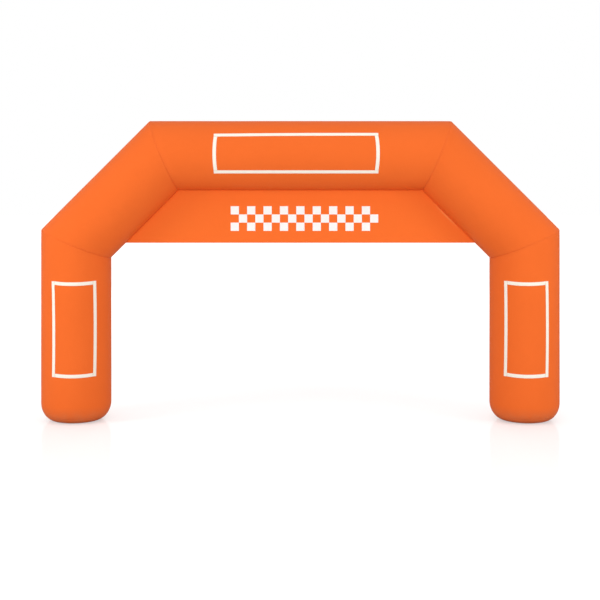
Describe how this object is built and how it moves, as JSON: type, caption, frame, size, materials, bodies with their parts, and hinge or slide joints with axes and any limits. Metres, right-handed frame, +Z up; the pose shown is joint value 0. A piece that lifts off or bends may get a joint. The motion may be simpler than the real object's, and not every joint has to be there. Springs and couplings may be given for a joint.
{
  "type": "inflatable arch",
  "caption": "Inflatable gateway arch of sewn air tubes with slanted shoulders, a cloth panel under the top tube and tape rectangles on its front for changeable banners.",
  "frame": {"origin": "on the ground midway between the two feet, in the plane of the tubes' centre lines", "axes": "+Z up, +X along the width to the right as seen from the front, -Y to the front, where the tape rectangles are"},
  "size_m": [6, 0.8024, 3.46],
  "materials": {
    "tube_cloth": "coated cloth, soft satin sheen",
    "panel_cloth": "coated cloth, matt",
    "tape": "hook-and-loop tape, matt pile"
  },
  "bodies": {
    "root": {"leg_left": "tube_cloth", "shoulder_left": "tube_cloth", "top_tube": "tube_cloth", "shoulder_right": "tube_cloth", "leg_right": "tube_cloth", "foot_left": "tube_cloth", "foot_right": "tube_cloth", "panel": "panel_cloth", "tape_left_leg_outer": "tape", "tape_left_leg_inner": "tape", "tape_left_leg_bottom": "tape", "tape_left_leg_top": "tape", "tape_right_leg_inner": "tape", "tape_right_leg_outer": "tape", "tape_right_leg_bottom": "tape", "tape_right_leg_top": "tape", "tape_top_upper": "tape", "tape_top_lower": "tape", "tape_top_left": "tape", "tape_top_right": "tape"}
  },
  "joints": []
}
